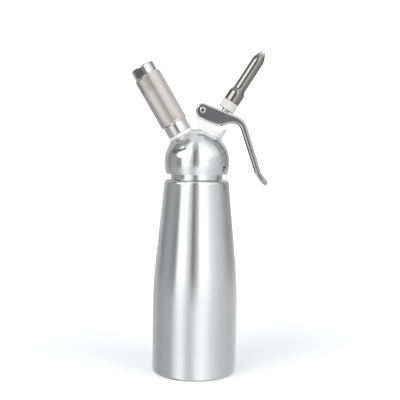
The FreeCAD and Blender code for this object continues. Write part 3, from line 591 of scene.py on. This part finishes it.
# Gas side: nipple, pin, seals and charger
# Plated brass stub with a hollow hardened pin in its cup, a rubber ring for the charger's neck,
# a silicone umbrella that lets gas in only, and the zinc-plated steel charger.

# Nickel plate shines in a warm grey. Hardened steel is cooler, with fine grinding marks, and zinc
# plate is bluish and dull. Nitrile is black and matt, and clear silicone lets light in.
nickel_brass = metal("nickel_plated_brass", "#CFC8B8", 0.24, 0.25, 12.0, 0.05, 0.02)
hard_steel = metal("hardened_steel", "#A9A9AB", 0.22, 0.2, 8.0, 0.04, 0.01)
zinc_steel = metal("zinc_plated_steel", "#B4B7BC", 0.38, 1.6, 2.2, 0.07, 0.02)
black_rubber = soft_rubber("nitrile_rubber", "#1C1B1B", 0.6, 0.4)
clear_silicone = soft_rubber("clear_silicone", "#D9D8CE", 0.4, 0.5, 0.4)
dress("charger_nipple", nickel_brass)
dress("piercing_pin", hard_steel)
dress("charger_seal", black_rubber)
dress("gas_valve_flap", clear_silicone)
dress("gas_charger", zinc_steel)


# Charger holder
# Turned brass sleeve, closed at the top, nickel-chromed, with a band of fine diamond knurling
# rolled into its thicker middle.

HOLDER_LOW = 31.5
HOLDER_TOP = 103.3
HOLDER_R = 11.5
GRIP_R = 12.8
GRIP_LOW = 42.3
GRIP_TOP = 92.8
GRIP_STEP = 0.8
GRIP_EDGE = 0.5
BAND_LOW = GRIP_LOW + 0.9
BAND_TOP = GRIP_TOP - 0.9
CAP_CROWN = 0.25
CAP_ROUND = 1.6
CAP_THICK = 2.4
HOLDER_BORE = 9.3
HOLDER_RELIEF = 9.8
RELIEF_TOP = HOLDER_LOW + 12
BORE_LOW = HOLDER_LOW + 13
BORE_MIDDLE = 60.0
DIAMONDS = 54
KNURL_ROWS = 33
KNURL_DEEP = 0.4
KNURL_FADE = 0.5
DIAMOND_RISE = 2.4
FINE = 6


def knurled_band():
    """Diamonds: two families of V grooves, |sin(nt + kz)| and |sin(nt - kz)|, cut from a cylinder.

    A rise over 1 is cut off, which leaves each diamond a flat top.
    """
    t = np.arange(DIAMONDS * FINE) * 2 * math.pi / (DIAMONDS * FINE)
    z = np.linspace(BAND_LOW, BAND_TOP, KNURL_ROWS * FINE + 1)
    t, z = np.meshgrid(t, z)
    k = math.pi * KNURL_ROWS / (BAND_TOP - BAND_LOW)
    rise = DIAMOND_RISE * np.minimum(np.abs(np.sin(DIAMONDS / 2 * t + k * z)),
                                     np.abs(np.sin(DIAMONDS / 2 * t - k * z)))
    edge = np.clip(np.minimum(z - BAND_LOW, BAND_TOP - z) / KNURL_FADE, 0, 1)
    r = GRIP_R - KNURL_DEEP * (1 - np.minimum(1, rise)) * edge
    return np.stack([r * np.cos(t), r * np.sin(t), z], -1)


# Nickel-chrome is a warm, hard mirror; on the knurling it breaks into small glints.
chrome = metal("nickel_chrome", "#DEDCDA", 0.05, 0.4, 20.0, 0.015, 0.002)
# The knurled copy's darker tint is painted shade for its grooves.
knurled_chrome_shaded = metal("knurled_nickel_chrome_painted_shade", "#D6D2CD", 0.11, 0.4, 6.0, 0.04, 0.01)
lower_line = rounded([
    (HOLDER_BORE, BORE_MIDDLE), (HOLDER_BORE, BORE_LOW), (HOLDER_RELIEF, RELIEF_TOP),
    (HOLDER_RELIEF, HOLDER_LOW), (HOLDER_R, HOLDER_LOW, 0.5), (HOLDER_R, GRIP_LOW - GRIP_STEP, 0.3),
    (GRIP_R, GRIP_LOW + GRIP_EDGE, 0.4), (GRIP_R, BAND_LOW)])
upper_line = rounded([
    (GRIP_R, BAND_TOP), (GRIP_R, GRIP_TOP - GRIP_EDGE, 0.4), (HOLDER_R, GRIP_TOP + GRIP_STEP, 0.3),
    (HOLDER_R, HOLDER_TOP - CAP_CROWN, CAP_ROUND), (0, HOLDER_TOP)], 10)
inner_line = rounded([
    (HOLDER_BORE, BORE_MIDDLE), (HOLDER_BORE, HOLDER_TOP - CAP_THICK, 4),
    (0, HOLDER_TOP - CAP_THICK)])
holder_mouth = turned("holder_mouth", lower_line, 128, on_gas_axis)
settle(holder_mouth, "holder", "chromed_brass", chrome, "charger_holder")
holder_cap = turned("holder_cap", np.vstack([upper_line, inner_line[::-1]]), 128, on_gas_axis)
settle(holder_cap, "holder", "chromed_brass", chrome)
band_points = knurled_band()
holder_grip = finish_grid("holder_grip", band_points, grid_faces(*band_points.shape[:2]),
                          on_gas_axis)
settle(holder_grip, "holder", "chromed_brass", knurled_chrome_shaded)
holder_grip.data.polygons.foreach_set("use_smooth", [False] * len(holder_grip.data.polygons))


# Valve stem, seals, nut and spring
# A hollow turned stainless rod with a silicone cone at its foot, two rubber rings, a round nut
# with a domed top that the lever presses, and the coil spring under it.

# Turned stainless is a mid grey with fine rings; drawn wire is a little duller.
stainless_turned = metal("turned_stainless", "#B9B8B6", 0.25, 0.2, 10.0, 0.05, 0.02)
spring_steel = metal("drawn_spring_wire", "#A3A3A6", 0.3, 0.3, 0.8, 0.05, 0.01)
dress("valve_stem", stainless_turned)
dress("collar_nut", stainless_turned)
dress("seal_nut", stainless_turned)
dress("stem_o_rings", black_rubber)
dress("stem_seal", clear_silicone)
VALVE_LEAN = math.radians(32.2)
VALVE_CROSS = 205.9
spring = smooth_copy("spring_coil", "valve_spring")
settle(spring, "head", "spring_steel", spring_steel, "valve_spring")
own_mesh(spring)


# Nozzle adaptor
# Moulded white nylon nut, ribbed along its side for the fingers, screwed on the stem's end.
# The steel nozzle screws on its upper thread.

ADAPTOR_LOW = 50.3
ADAPTOR_TOP = 58.9
ADAPTOR_R = 8.0
ADAPTOR_BORE = 3.5
STEM_END = 57.3
CREAM_BORE = 2.6
THREAD_R = 5.6
THREAD_TOP = 67.5
FINGER_RIBS = 24
RIB_DEEP = 0.5
RIB_FINE = 12
on_valve_axis = leaning(VALVE_LEAN, VALVE_CROSS)


def white_plastic():
    """Nylon: near-white, faintly translucent, with a fine moulded grain and soft gloss."""
    made, tree, out = new_material("white_nylon")
    where = node(tree, "ShaderNodeTexCoord")
    grain = node(tree, "ShaderNodeTexNoise", {"Scale": 1 / (0.35 * MM), "Detail": 4.0},
                 Vector=where.outputs["Object"])
    level = node(tree, "ShaderNodeMapRange", {"To Min": 0.95, "To Max": 1.02},
                 Value=grain.outputs["Fac"])
    tint = node(tree, "ShaderNodeVectorMath", {
        "operation": "SCALE", 0: tuple(linear("#DEDEDB")[:3])}, Scale=level.outputs[0])
    rough_map = node(tree, "ShaderNodeMapRange", {"To Min": 0.36, "To Max": 0.48},
                     Value=grain.outputs["Fac"])
    bump = node(tree, "ShaderNodeBump", {"Strength": 0.25, "Distance": 0.03 * MM},
                Height=grain.outputs["Fac"])
    shader = node(tree, "ShaderNodeBsdfPrincipled", {"IOR": 1.53}, Base_Color=tint.outputs[0],
                  Roughness=rough_map.outputs[0], Normal=bump.outputs[0])
    tree.links.new(shader.outputs[0], out.inputs["Surface"])
    return made


def adaptor_points():
    """Lathe outline whose outer wall is ribbed: r = R - depth * |cos(ribs * t / 2)|^3."""
    line = np.array([
        (ADAPTOR_BORE, STEM_END), (ADAPTOR_BORE, ADAPTOR_LOW), (ADAPTOR_R - 0.8, ADAPTOR_LOW),
        (ADAPTOR_R - 0.3, ADAPTOR_LOW + 0.15), (ADAPTOR_R, ADAPTOR_LOW + 0.6),
        (ADAPTOR_R, ADAPTOR_LOW + 1.0), (ADAPTOR_R, ADAPTOR_TOP - 1.0),
        (ADAPTOR_R, ADAPTOR_TOP - 0.5), (ADAPTOR_R - 0.3, ADAPTOR_TOP - 0.1),
        (ADAPTOR_R - 0.8, ADAPTOR_TOP), (THREAD_R, ADAPTOR_TOP), (THREAD_R, THREAD_TOP - 0.3),
        (THREAD_R - 0.4, THREAD_TOP), (CREAM_BORE, THREAD_TOP), (CREAM_BORE, STEM_END),
        (ADAPTOR_BORE, STEM_END)])
    t = np.arange(FINGER_RIBS * RIB_FINE) * 2 * math.pi / (FINGER_RIBS * RIB_FINE)
    r, t = np.meshgrid(line[:, 0], t, indexing="ij")
    z = np.repeat(line[:, 1:], t.shape[1], 1)
    ribbed = np.zeros(len(line))
    ribbed[5:7] = 1
    r = r - RIB_DEEP * np.abs(np.cos(FINGER_RIBS * t / 2)) ** 3 * ribbed[:, None]
    return np.stack([r * np.cos(t), r * np.sin(t), z], -1)


points = adaptor_points()
adaptor = finish_grid("adaptor_nut", points, grid_faces(*points.shape[:2]), on_valve_axis)
settle(adaptor, "valve", "white_nylon", white_plastic(), "nozzle_adaptor")


# Nozzle
# Stainless tube, drawn to a skirt at its foot and closed in at the end, where six slots leave
# pointed petals that give the cream its star shape. Polished outside.

NOZZLE_LOW = 59.0
NOZZLE_TOP = 112.95
NOZZLE_R = 5.7
NOZZLE_WALL = 0.8
SKIRT_IN = 5.8
SKIRT_R = 7.6
SKIRT_TOP = 68.7
TUBE_FROM = 72.4
CLOSING_FROM = 106.6
TIP_R = 2.3
MOUTH_R = 1.7
PETALS = 6
SLOT_FROM = NOZZLE_TOP - 7.6
SLOT_MAX = 1.9
SLOT_CURVE = 0.8
LEAST_R = 1.2
ROW_STEP = 0.8
PETAL_COLUMNS = 17

outer_line = rounded([
    (SKIRT_IN, NOZZLE_LOW), (SKIRT_R, NOZZLE_LOW, 0.4), (SKIRT_R, SKIRT_TOP, 3),
    (NOZZLE_R, TUBE_FROM, 3), (NOZZLE_R, CLOSING_FROM, 14), (TIP_R, NOZZLE_TOP, 1.0),
    (MOUTH_R, NOZZLE_TOP)], 12)


def nozzle_surface():
    """Turned outline in six sectors; from the slots' start each sector narrows by w(z) / r."""
    runs = np.linalg.norm(np.diff(outer_line, axis=0), axis=1)
    steps = [np.linspace(start, end, max(2, int(run / ROW_STEP) + 1))[:-1]
             for start, end, run in zip(outer_line, outer_line[1:], runs)]
    line = np.vstack(steps + [outer_line[-1:]])
    r, z = line[:, 0], line[:, 1]
    width = SLOT_MAX * np.clip((z - SLOT_FROM) / (NOZZLE_TOP - SLOT_FROM), 0, 1) ** SLOT_CURVE
    half = math.pi / PETALS - width / 2 / np.maximum(r, LEAST_R)
    across = np.linspace(-1, 1, PETAL_COLUMNS)
    sheets = []
    for petal in range(PETALS):
        t = 2 * math.pi * (petal + 0.5) / PETALS + half[:, None] * across
        sheets.append(np.stack([r[:, None] * np.cos(t), r[:, None] * np.sin(t),
                                np.repeat(z[:, None], PETAL_COLUMNS, 1)], -1))
    return sheets


def open_grid(rows, columns, first):
    """Quads of an open rows by columns grid whose points start at the given number."""
    row, column = np.meshgrid(np.arange(rows - 1), np.arange(columns - 1), indexing="ij")
    corner = first + row * columns + column
    return np.stack([corner, corner + 1, corner + columns + 1, corner + columns], -1).reshape(-1, 4)


sheets = nozzle_surface()
rows = len(sheets[0])
nozzle_faces = np.vstack([open_grid(rows, PETAL_COLUMNS, i * rows * PETAL_COLUMNS)
                          for i in range(PETALS)])
nozzle_points = np.concatenate([sheet.reshape(-1, 3) for sheet in sheets])
nozzle = finish_grid("nozzle_tube", nozzle_points, nozzle_faces, on_valve_axis)
wall = nozzle.modifiers.new("wall", "SOLIDIFY")
wall.thickness = NOZZLE_WALL * MM
wall.offset = -1
# Polished stainless: a dark, warm mirror with faint polishing marks.
polished_stainless = metal("polished_stainless", "#8F8D8A", 0.07, 0.5, 14.0, 0.02, 0.002)
settle(nozzle, "nozzle", "polished_stainless", polished_stainless, "nozzle_tip")


# Lever
# Pressed from one stainless sheet: a channel whose cheeks hang over the saddle, bent down into
# the handle and flared to a rounded tongue.

# Polished flat, the cheeks mirror the dark of the room; the edges carry a paler painted highlight.
pressed_stainless = metal("pressed_stainless", "#97969A", 0.08, 0.6, 9.0, 0.02, 0.003, "#E2E1E1")
lever = smooth_copy("lever_pressing", "lever")
settle(lever, "lever", "pressed_stainless", pressed_stainless, "lever")
dress("pivot_pin", hard_steel)


# Lever screws
# Two round-headed screws with a cross recess, nickel-plated, one in each end of the pivot barrel.

PIVOT = (4.85, 247.57)
HALF_LEVER = 10.0
HEAD_R = 2.9
HEAD_H = 1.5
HEAD_RINGS = 34
HEAD_FLAT = 0.82
SHANK_R = 1.5
SHANK_LONG = 6.0
CROSS_ARM = 1.75
CROSS_HALF = 0.5
CROSS_DEEP = 1.2
CROSS_SOFT = 0.3
CROSS_ENDS = 1.25
CROSS_TURN = math.radians(22)
# Painted shade in the screws' cross recess, full near the pivot's axis and deep in the head.
SHADE_INNER = 1.8
SHADE_OUTER = 2.0
SHADE_DEEP = 0.9
SHADE_SHALLOW = 1.15


def screw_points():
    """Domed disc on a polar grid; a plus sign is sunk in its middle.

    In the plus, max(|u| / arm, |v| / half) or the same with u and v changed over is under 1.
    """
    rings = np.concatenate([np.linspace(0, 1, HEAD_RINGS) * HEAD_R, [HEAD_R, SHANK_R, SHANK_R]])
    t = np.arange(96) * 2 * math.pi / 96 + CROSS_TURN
    r, t = np.meshgrid(rings, t, indexing="ij")
    u, v = r * np.cos(t - CROSS_TURN), r * np.sin(t - CROSS_TURN)
    dome = HEAD_H * np.sqrt(np.clip(1 - (r / HEAD_R) ** 2 * HEAD_FLAT, 0, 1))
    arm = np.minimum(np.maximum(np.abs(u) / CROSS_ARM, np.abs(v) / CROSS_HALF),
                     np.maximum(np.abs(v) / CROSS_ARM, np.abs(u) / CROSS_HALF))
    inside = np.clip((1 + CROSS_SOFT / 2 - arm) / CROSS_SOFT, 0, 1)
    z = dome - CROSS_DEEP * inside * np.clip(CROSS_ENDS - r / CROSS_ARM, 0, 1)
    z[HEAD_RINGS:] = 0.0
    z[-1] = -SHANK_LONG
    return np.stack([r * np.cos(t), r * np.sin(t), z], -1)


def screw_metal_painted_shade():
    """Nickel plate with painted shade: dark where it lies deep and near the pivot's axis."""
    made = metal("nickel_plated_screw_painted_shade", "#D2D0CC", 0.17, 0.3, 1.0, 0.05, 0.008)
    tree = made.node_tree
    shader = next(n for n in tree.nodes if n.type == "BSDF_PRINCIPLED")
    where = node(tree, "ShaderNodeTexCoord")
    centred = node(tree, "ShaderNodeVectorMath", {
        "operation": "SUBTRACT", 1: (PIVOT[0] * MM, 0, PIVOT[1] * MM)}, i0=where.outputs["Object"])
    across = node(tree, "ShaderNodeVectorMath", {"operation": "MULTIPLY", 1: (1, 0, 1)},
                  i0=centred.outputs[0])
    radius = node(tree, "ShaderNodeVectorMath", {"operation": "LENGTH"}, i0=across.outputs[0])
    inner = node(tree, "ShaderNodeMapRange", {
        "From Min": SHADE_OUTER * MM, "From Max": SHADE_INNER * MM}, Value=radius.outputs["Value"])
    along = node(tree, "ShaderNodeSeparateXYZ", Vector=where.outputs["Object"])
    outward = node(tree, "ShaderNodeMath", {"operation": "ABSOLUTE"}, i0=along.outputs["Y"])
    deep = node(tree, "ShaderNodeMapRange", {
        "From Min": (HALF_LEVER + SHADE_SHALLOW) * MM, "From Max": (HALF_LEVER + SHADE_DEEP) * MM},
        Value=outward.outputs[0])
    # Painted shade: the base colour falls to 8 % where the recess is deep and near the axis.
    painted_shade = node(tree, "ShaderNodeMath", {"operation": "MULTIPLY"}, i0=inner.outputs[0],
                 i1=deep.outputs[0])
    kept = node(tree, "ShaderNodeMapRange", {"To Min": 1.0, "To Max": 0.08}, Value=painted_shade.outputs[0])
    darker = node(tree, "ShaderNodeVectorMath", {"operation": "SCALE"},
                  i0=shader.inputs["Base Color"].links[0].from_socket, Scale=kept.outputs[0])
    tree.links.new(darker.outputs[0], shader.inputs["Base Color"])
    return made


nickel_screw = screw_metal_painted_shade()
points = screw_points()
x, z, rise = points.reshape(-1, 3).T
for name, side, stands_for in (("screw_front", -1, ["lever_screws"]), ("screw_back", 1, [])):
    placed = np.stack([x + PIVOT[0], side * (HALF_LEVER + rise), z + PIVOT[1]], 1)
    screw = finish_grid(name, placed, grid_faces(*points.shape[:2]))
    settle(screw, "lever", "nickel_screw", nickel_screw, *stands_for)
